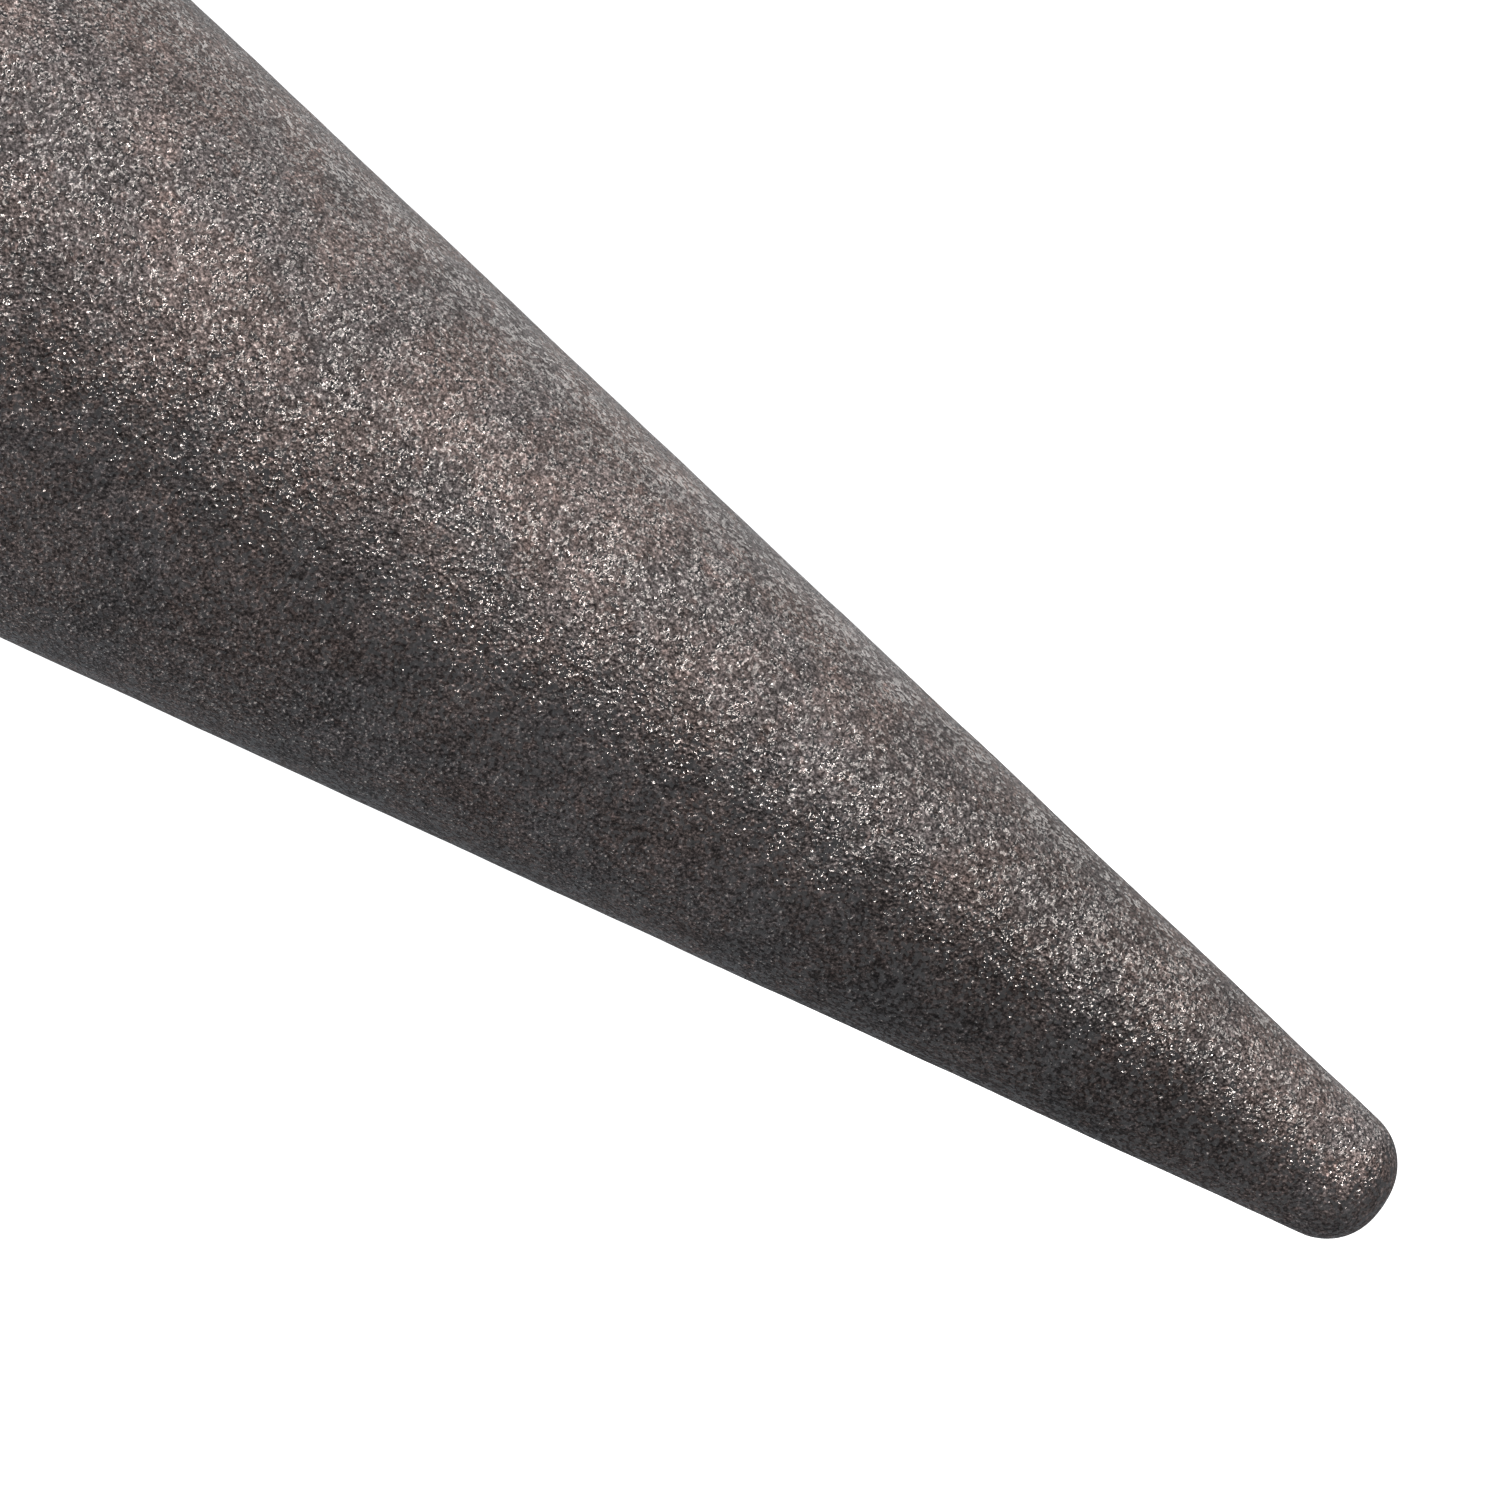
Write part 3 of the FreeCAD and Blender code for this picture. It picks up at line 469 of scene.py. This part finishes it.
def mesh_of(name, points, faces, sharp):
    """A smooth mesh, split where its faces meet at more than so many degrees."""
    mesh = bpy.data.meshes.new(name)
    mesh.from_pydata(np.asarray(points).tolist(), [], faces)
    mesh.validate()
    shape = bmesh.new()
    shape.from_mesh(mesh)
    bmesh.ops.recalc_face_normals(shape, faces=shape.faces)
    shape.to_mesh(mesh)
    shape.free()
    mesh.shade_smooth()
    mesh.set_sharp_from_angle(angle=math.radians(sharp))
    return mesh


def rings_to_faces(rows, around, first=0, closed=False):
    """Quads between rows of points that are each a ring, with both ends capped unless closed."""
    faces = []
    for row in range(rows if closed else rows - 1):
        lower = first + row * around
        upper = first + (row + 1) % rows * around
        for step in range(around):
            after = (step + 1) % around
            faces.append((lower + step, lower + after, upper + after, upper + step))
    if not closed:
        faces.append(tuple(first + step for step in reversed(range(around))))
        faces.append(tuple(first + (rows - 1) * around + step for step in range(around)))
    return faces


class Shape:
    """Points and faces gathered from several parts of one piece."""

    def __init__(self):
        self.points = []
        self.faces = []

    def add_rings(self, rings, closed=False):
        rings = np.asarray(rings)
        self.faces += rings_to_faces(len(rings), rings.shape[1], len(self.points), closed)
        self.points += rings.reshape(-1, 3).tolist()

    def piece(self, name, body, slot, finishes, stands_for=(), *, sharp):
        mesh = mesh_of(name, self.points, self.faces, sharp)
        add_piece(name, body, mesh, finishes, stands_for)


# ---------------------------------------------------------------- forged point
AROUND = 360               # points round the forged point
CONE_ROWS = 235            # rows of points along its cone


def point_outline():
    """Radius and height along the forged point, from its end to the middle of its plug's top."""
    tilt = math.atan((TUBE - POINT_END) / (SEAM - TIP))
    tangent = POINT_ROUND * math.tan((math.pi / 2 - tilt) / 2)
    centre_radius = POINT_END - tangent
    outline = [(centre_radius * share, TIP) for share in (0.3, 0.65)]
    for angle in np.linspace(-math.pi / 2, -tilt, 22):
        outline.append((centre_radius + POINT_ROUND * math.cos(angle),
                        TIP + POINT_ROUND * (1 + math.sin(angle))))
    start_radius, start_height = outline[-1]
    end_height = SEAM - GROOVE / 2
    end_radius = TUBE - (SEAM - end_height) * math.tan(tilt)
    for share in np.linspace(0, 1, CONE_ROWS)[1:]:
        outline.append((start_radius + (end_radius - start_radius) * share,
                        start_height + (end_height - start_height) * share))
    outline += [(TUBE - GROOVE, SEAM), (PLUG, SEAM), (PLUG, SEAM + 1 * MM)]
    outline += [(PLUG, PLUG_TOP - 2 * MM), (PLUG - 2 * MM, PLUG_TOP), (PLUG / 2, PLUG_TOP)]
    return outline


def forged_relief(place):
    """How far forging and scale leave the surface from a true cone."""
    swell = noise.noise(place / (11 * MM)) * 0.060 * MM
    dents = noise.noise(place / (3.6 * MM) + Vector((7, 3, 5))) * 0.030 * MM
    grain = noise.noise(place / (1.3 * MM) + Vector((2, 9, 4))) * 0.014 * MM
    return swell + dents + grain


def make_forged_point():
    """The point as a dense turned mesh whose cone carries the uneven forged surface."""
    rings = []
    for radius, height in point_outline():
        ring = []
        for step in range(AROUND):
            angle = math.tau * step / AROUND
            away = Vector((math.cos(angle), math.sin(angle), 0))
            place = away * radius + UP * height
            if height < SEAM - GROOVE / 2:
                fade = min(1.0, radius / POINT_END)
                place += away * forged_relief(place) * fade
            ring.append(place)
        rings.append(ring)
    shape = Shape()
    shape.add_rings(rings)
    shape.piece("forged_point", "anchor", "forged_steel", [FINISHES["forged_steel"]],
                ["drive_point"], sharp=50)


# ---------------------------------------------------------------- bolts
CREASE = 28                # degrees between faces from which shading breaks
THREAD_STEP = 1.5 * MM     # pitch of every thread
THREAD_DEPTH = 0.6         # of the pitch


def round_bar(radius):
    return lambda angle, height: radius


def hexagon(flats, chamfer_from=None, chamfer_radius=0.0):
    """A hexagon with two flats across X, cut back by a 30 degree chamfer near its top."""
    def radius(angle, height):
        side = flats / 2 / math.cos((angle + math.pi / 6) % (math.pi / 3) - math.pi / 6)
        if chamfer_from is None:
            return side
        return min(side, chamfer_radius + (chamfer_from - height) * math.sqrt(3))
    return radius


def square(side, corner):
    """A square bar with rounded corners."""
    half = side / 2 - corner

    def radius(angle, height):
        turned = (angle + math.pi / 4) % (math.pi / 2) - math.pi / 4
        flat = side / 2 / math.cos(turned)
        return min(flat, math.hypot(half, half) + corner * 1.1)
    return radius


def thread(major):
    """A one-start thread with its crests at the major radius."""
    def radius(angle, height):
        turn = (height / THREAD_STEP - angle / math.tau) % 1.0
        # flat at the crest and at the root, and sloping between them
        groove = min(1.0, max(0.0, 1.25 * (1 - abs(2 * turn - 1)) - 0.125))
        return major - THREAD_DEPTH * THREAD_STEP * groove
    return radius


def rows_between(start, end, step):
    count = max(2, round(abs(end - start) / step) + 1)
    return np.linspace(start, end, count)


def turn_bar(shape, stations, put, around=72):
    """Adds a bar whose section may change from row to row: (height, radius function)."""
    rings = []
    for height, radius in stations:
        ring = []
        for step in range(around):
            angle = math.tau * step / around
            reach = radius(angle, height)
            ring.append(put(reach * math.cos(angle), reach * math.sin(angle), height))
        rings.append(ring)
    shape.add_rings(rings)


def threaded_end(start, end, radius):
    """Rows of thread from start to the bolt's end, with its lead chamfer."""
    way = 1 if end > start else -1
    rows = [(height, thread(radius)) for height in rows_between(start, end - way * 1.2 * MM,
                                                                 THREAD_STEP / 7)]
    rows.append((end - way * 0.9 * MM, round_bar(radius - 0.35 * MM)))
    rows.append((end, round_bar(radius - 1.1 * MM)))
    return rows


def hex_head(foot, top, flats):
    """Rows of a hexagon head from its washer face to its chamfered top."""
    height = top - foot
    inner = 0.475 * flats
    rows = [(foot, round_bar(inner)), (foot + 0.3 * MM, round_bar(inner))]
    head = hexagon(flats, top, inner)
    rows.append((foot + 0.3 * MM, head))
    rows += [(foot + height * share, head) for share in (0.7, 0.8, 0.86, 0.9, 0.94, 0.97, 1.0)]
    return rows


def bolt_piece(shape, name, node):
    """Turned bolts that stand for a node, in the finish that the record names for it."""
    slot = SLOTS[node]
    shape.piece(name, BODY_OF[node], slot, [FINISHES[slot]], [node], sharp=CREASE)


def make_lock_bolts():
    """Two hexagon bolts that clamp the shoe base to the head plate through its slots."""
    bolt_low, bolt_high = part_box("lock_bolts")
    foot = high("lock_washers_upper").z
    flats, shank = 17 * MM, 5 * MM
    place = bolt_high.x - flats / 2
    shape = Shape()
    for side in (-1, 1):
        rows = list(reversed(threaded_end(HEAD_LOW, bolt_low.z, shank)))
        rows += [(HEAD_LOW + 0.5 * MM, round_bar(shank)), (foot, round_bar(shank))]
        rows += hex_head(foot, bolt_high.z, flats)
        turn_bar(shape, rows, lambda x, y, z, side=side: (side * place + x, y, z))
    bolt_piece(shape, "threaded_lock_bolts", "lock_bolts")


def make_pivot_screw():
    """The countersunk screw with a hexagon socket that the shoe turns on."""
    screw_low, screw_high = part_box("pivot_bolt")
    rim, shank, key = 12 * MM, 6 * MM, hexagon(8 * MM)
    top = screw_high.z
    rows = [(top - 4.9 * MM, round_bar(0.6 * MM)), (top - 4 * MM, round_bar(3.8 * MM)),
            (top - 4 * MM, key), (top - 2 * MM, key), (top - 0.4 * MM, key),
            (top, hexagon(8.8 * MM)), (top, round_bar(8 * MM)), (top, round_bar(rim - 0.3 * MM)),
            (top - 0.2 * MM, round_bar(rim)), (top - 0.6 * MM, round_bar(rim)),
            (top - 0.6 * MM - (rim - shank), round_bar(shank)),
            (HEAD_LOW + 0.5 * MM, round_bar(shank))]
    rows += threaded_end(HEAD_LOW, screw_low.z, shank)
    shape = Shape()
    turn_bar(shape, rows, lambda x, y, z: (x, y, z), around=96)
    bolt_piece(shape, "socket_pivot_screw", "pivot_bolt")


def make_carriage_bolts():
    """Four round-headed bolts with square necks that pull the clamp plate in."""
    bolt_low, bolt_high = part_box("clamp_bolts")
    dome, shank, neck = 12 * MM, 5 * MM, square(10 * MM, 1 * MM)
    foot = bolt_high.y - 5.5 * MM
    centre_x = bolt_high.x - dome
    shape = Shape()
    for side in (-1, 1):
        for centre_z in (bolt_low.z + dome, bolt_high.z - dome):
            rows = [(bolt_high.y - 0.02 * MM, round_bar(0.8 * MM))]
            for turn in np.linspace(8, 90, 14):
                angle = math.radians(turn)
                rows.append((foot + 0.8 * MM + 4.7 * MM * math.cos(angle),
                             round_bar(dome * math.sin(angle))))
            rows += [(foot + 0.3 * MM, round_bar(dome)), (foot, round_bar(dome - 0.3 * MM)),
                     (foot, neck), (foot - 3.6 * MM, neck),
                     (foot - 4 * MM, round_bar(shank)), (low("clamp_plate").y, round_bar(shank))]
            rows += threaded_end(low("clamp_plate").y - 0.4 * MM, bolt_low.y, shank)
            turn_bar(shape, rows, lambda x, y, z, side=side, up=centre_z: (
                side * centre_x + x, z, up + y))
    bolt_piece(shape, "threaded_carriage_bolts", "clamp_bolts")


# ---------------------------------------------------------------- weld beads
RIPPLE = 2.3 * MM          # one ripple of a bead to the next
SWELL_LENGTH = 7 * MM      # over which a bead grows thicker and thinner
BEAD_STEP = 0.42 * MM      # one row of points to the next
SINK = 0.12 * MM           # how far a bead's edges run into the steel


def bead(shape, corner, first, second, leg, closed=False, crown=0.0):
    """Adds one weld run along the points of corner.

    first and second point away from the corner along the two faces that the run joins. A crown
    makes it a butt weld instead: leg wide each way along first, and crown high along second.
    """
    corner, first, second = (np.asarray(part, float) for part in (corner, first, second))
    steps = np.linalg.norm(np.diff(corner, axis=0), axis=1)
    along = np.concatenate([[0.0], np.cumsum(steps)])
    seed = Vector((corner[0] * 91).tolist())      # so that no two runs swell alike
    swell = np.array([1 + 0.12 * noise.noise(seed + UP * run / SWELL_LENGTH) for run in along])
    if closed:
        taper = np.ones(len(along))
        swell = 1 + (swell - 1) * np.sin(math.pi * along / along[-1])
    else:
        nearest = np.minimum(along, along[-1] - along) / (1.3 * leg)
        taper = np.sqrt(np.clip(1 - (1 - np.minimum(nearest, 1)) ** 2, 0.01, 1))
    sections = []
    for share in np.linspace(0, 1, 9):
        bulge = math.sin(math.pi * share)
        # each ripple bows along the run in its middle, and falls off behind its front
        phase = (along / RIPPLE + 0.5 * bulge) % 1.0
        ripple = 1 + (0.16 * np.sqrt(1 - phase) - 0.09) * bulge * (2.5 if crown else 1)
        if crown:
            across = leg * math.cos(math.pi * share) * swell
            out = crown * bulge * ripple * swell - SINK
        else:
            angle = math.pi / 2 * share
            reach = leg * math.sqrt(0.5) / math.cos(angle - math.pi / 4)
            reach = (reach + 0.16 * leg * bulge) * ripple * swell * taper
            across = reach * math.cos(angle) - SINK
            out = reach * math.sin(angle) - SINK
        across, out = np.reshape(across, (-1, 1)), np.reshape(out, (-1, 1))
        sections.append(corner + first * across + second * out)
    if crown:
        sections.append(corner - first * leg * 0.4 - second * GROOVE * 0.9)
        sections.append(corner + first * leg * 0.4 - second * GROOVE * 0.9)
    else:
        sections.append(corner - (first + second) * 3 * SINK)
    rings = np.stack(sections, axis=1)
    shape.add_rings(rings[:-1] if closed else rings, closed)


def straight_bead(shape, start, end, first, second, leg):
    start, end = Vector(start), Vector(end)
    rows = rows_between(0, 1, BEAD_STEP / (end - start).length)
    corner = [start.lerp(end, share) for share in rows]
    bead(shape, corner, [first] * len(rows), [second] * len(rows), leg)


def round_bead(shape, radius, height, way, leg, start=0.0, end=360.0, crown=0.0):
    """A run round the tube from one angle to another, along a plate or, with a crown, a seam."""
    rows = rows_between(math.radians(start), math.radians(end), BEAD_STEP / radius)
    outward = [Vector((math.cos(angle), math.sin(angle), 0)) for angle in rows]
    corner = [out * radius + UP * height for out in outward]
    upward = [Vector(way)] * len(rows)
    if crown:
        bead(shape, corner, upward, outward, leg, closed=True, crown=crown)
    else:
        bead(shape, corner, outward, upward, leg)


def beside_plate(shape, angle, half, start, end, leg):
    """Both runs between the tube and a plate that stands out from it at an angle."""
    out = Vector((math.cos(angle), math.sin(angle), 0))
    for side in (-1, 1):
        across = Vector((-math.sin(angle), math.cos(angle), 0)) * side
        lean = math.asin((half + leg * 0.6) / TUBE)
        tangent = across * math.cos(lean) - out * math.sin(lean)
        foot = out * math.sqrt(TUBE ** 2 - half ** 2) + across * half
        straight_bead(shape, foot + UP * start, foot + UP * end, out, tangent, leg)


def under_plate(shape, angle, half, near, far, height, way, leg):
    """Both runs between an upright plate and a level one, from near to far along the radius."""
    out = Vector((math.cos(angle), math.sin(angle), 0))
    for side in (-1, 1):
        across = Vector((-math.sin(angle), math.cos(angle), 0)) * side
        foot = across * half + UP * height
        straight_bead(shape, foot + out * near, foot + out * far, across, Vector(way), leg)


def weld_piece(name, body, build):
    shape = Shape()
    build(shape)
    shape.piece(name, body, "blasted_plate_steel", [WELD], sharp=60)


def weld_fins(shape):
    """Three stitches each side of every fin, and a run under the ground plate."""
    leg = 3.6 * MM
    length = PLATE_LOW - FIN_LOW
    for quarter in range(4):
        angle = quarter * math.pi / 2
        for start, end in ((0.01, 0.22), (0.40, 0.60), (0.78, 0.985)):
            start, end = FIN_LOW + length * start, FIN_LOW + length * end
            beside_plate(shape, angle, FIN_HALF, start, end, leg)
        under_plate(shape, angle, FIN_HALF, TUBE + 2 * leg, FIN_REACH - 2 * MM, PLATE_LOW, -UP, leg)


def weld_neck(shape):
    """The neck ribs to the tube, the ground plate and the head plate."""
    leg = 3.4 * MM
    for quarter in range(4):
        angle = math.radians(45 + 90 * quarter)
        beside_plate(shape, angle, RIB_HALF, PLATE_TOP + leg, HEAD_LOW - leg, leg)
        under_plate(shape, angle, RIB_HALF, TUBE + leg, RIB_REACH - 2 * MM, PLATE_TOP, UP, leg)
        under_plate(shape, angle, RIB_HALF, TUBE + leg, RIB_REACH - 2 * MM, HEAD_LOW, -UP, leg)


def weld_tube(shape):
    """The tube to the top of the ground plate and to the underside of the head plate."""
    for quarter in range(4):
        start, end = 45 + 90 * quarter + 9, 45 + 90 * (quarter + 1) - 9
        round_bead(shape, TUBE, PLATE_TOP, UP, 4 * MM, start, end)
        round_bead(shape, TUBE, HEAD_LOW, -UP, 4 * MM, start, end)


def weld_shell(shape):
    """The bent shell to the shoe base: along the outside of both walls and the back."""
    wall = low("shoe_rib_right_back").x - WELD_GAP
    back = high("shoe_shell").y
    rib_middle = (high("shoe_rib_right_back").y + low("shoe_rib_right_back").y) / 2
    clear = RIB_HALF + 3.5 * MM
    leg, thin = 3.4 * MM, 2.2 * MM
    for side in (-1, 1):
        face, out = side * wall, Vector((side, 0, 0))
        for start, end in ((-rib_middle + clear, rib_middle - clear),
                           (rib_middle + clear, back - 6 * MM),
                           (-rib_middle - clear, -rib_middle - clear - 4 * MM)):
            straight_bead(shape, (face, start, BASE_TOP), (face, end, BASE_TOP), out, UP, leg)
    reach = wall - 6 * MM
    straight_bead(shape, (-reach, back, BASE_TOP), (reach, back, BASE_TOP), Vector((0, 1, 0)),
                  UP, thin)


def weld_shoe_ribs(shape):
    """Both sides of each shoe rib, along the shell and along the base."""
    leg = 3.0 * MM
    inner, outer = low("shoe_rib_right_back").x - WELD_GAP, high("shoe_rib_right_back").x
    top = high("shoe_rib_right_back").z
    rib_middle = (high("shoe_rib_right_back").y + low("shoe_rib_right_back").y) / 2
    for side in (-1, 1):
        out = Vector((side, 0, 0))
        for middle in (-rib_middle, rib_middle):
            for face in (-1, 1):
                y, across = middle + face * RIB_HALF, Vector((0, face, 0))
                straight_bead(shape, (side * inner, y, BASE_TOP + leg),
                              (side * inner, y, top - 2 * MM), out, across, leg)
                straight_bead(shape, (side * (inner + leg), y, BASE_TOP),
                              (side * (outer - 1 * MM), y, BASE_TOP), UP, across, leg)


def weld_pivot_nut(shape):
    """Tacks on three flats of the nut under the head plate."""
    flat = high("pivot_nut").x
    for third in range(3):
        angle = math.tau * third / 3
        out = Vector((math.cos(angle), math.sin(angle), 0))
        across = Vector((-math.sin(angle), math.cos(angle), 0))
        middle = out * flat + UP * HEAD_LOW
        half = across * 3.5 * MM
        straight_bead(shape, middle - half, middle + half, out, -UP, 2.2 * MM)


def make_welds():
    weld_piece("weld_point_seam", "anchor", lambda shape: round_bead(
        shape, TUBE, SEAM, UP, GROOVE * 1.3, crown=0.8 * MM))
    weld_piece("weld_fins", "anchor", weld_fins)
    weld_piece("weld_neck_ribs", "anchor", weld_neck)
    weld_piece("weld_tube", "anchor", weld_tube)
    weld_piece("weld_pivot_nut", BODY_OF["pivot_nut"], weld_pivot_nut)
    weld_piece("weld_shell", "shoe", weld_shell)
    weld_piece("weld_shoe_ribs", "shoe", weld_shoe_ribs)


# ---------------------------------------------------------------- plates with eased edges
HAIR = 0.02 * MM           # how far a face lies inside the CAD face
SHARP_EDGE = 40            # degrees between faces from which an edge is broken
# the plates and the tube, and the width in millimetres of their broken edges
EASED = {
    "ground_plate": 0.6, "head_plate": 0.6, "shoe_base": 0.6, "shoe_shell": 0.5, "clamp_plate": 0.5,
    "fin_right": 0.5, "fin_back": 0.5, "fin_left": 0.5, "fin_front": 0.5,
    "neck_rib_1": 0.5, "neck_rib_2": 0.5, "neck_rib_3": 0.5, "neck_rib_4": 0.5,
    "shoe_rib_right_back": 0.5, "shoe_rib_right_front": 0.5,
    "shoe_rib_left_back": 0.5, "shoe_rib_left_front": 0.5, "shaft_tube": 0.35,
}


def pull_in(shape, depth):
    """Moves every face inwards, so that pieces which touch in CAD don't share a surface."""
    shape.normal_update()
    moves = []
    for vert in shape.verts:
        ways = []
        for face in vert.link_faces:
            if all(face.normal.dot(way) < 0.8 for way in ways):
                ways.append(face.normal.copy())
        moves.append(sum(ways, Vector()) * -depth)
    for vert, move in zip(shape.verts, moves):
        vert.co += move


def ease_edges(node, width):
    """The CAD plate with its sharp edges broken, and those edges worn."""
    shape = bmesh.new()
    shape.from_mesh(frame["nodes"][node].data)
    bmesh.ops.remove_doubles(shape, verts=shape.verts, dist=1e-6)
    bmesh.ops.dissolve_limit(shape, angle_limit=math.radians(0.5), verts=shape.verts,
                             edges=shape.edges)
    pull_in(shape, HAIR)
    keen = [edge for edge in shape.edges if len(edge.link_faces) == 2
            and edge.calc_face_angle() > math.radians(SHARP_EDGE) and edge.is_convex]
    bmesh.ops.bevel(shape, geom=keen, offset=width * MM, segments=1, affect="EDGES",
                    clamp_overlap=True, material=1)
    bmesh.ops.triangulate(shape, faces=shape.faces)
    mesh = bpy.data.meshes.new(node + "_eased")
    shape.to_mesh(mesh)
    shape.free()
    # the imported normals no longer fit the new faces
    mesh.attributes.remove(mesh.attributes["custom_normal"])
    mesh.shade_smooth()
    mesh.set_sharp_from_angle(angle=math.radians(CREASE))
    add_piece(node + "_eased", BODY_OF[node],
              mesh, [FINISHES[SLOTS[node]], EDGE], [node])


# ---------------------------------------------------------------- the whole
def finish_nodes():
    """Every CAD node takes the finish that the record names for it."""
    for name, node in frame["nodes"].items():
        node.data.materials.clear()
        node.data.materials.append(FINISHES[SLOTS[name]])


make_studio(make_camera())
finish_nodes()
make_forged_point()
make_lock_bolts()
make_pivot_screw()
make_carriage_bolts()
make_welds()
for node, width in EASED.items():
    ease_edges(node, width)
bpy.context.scene.view_settings.view_transform = "Standard"
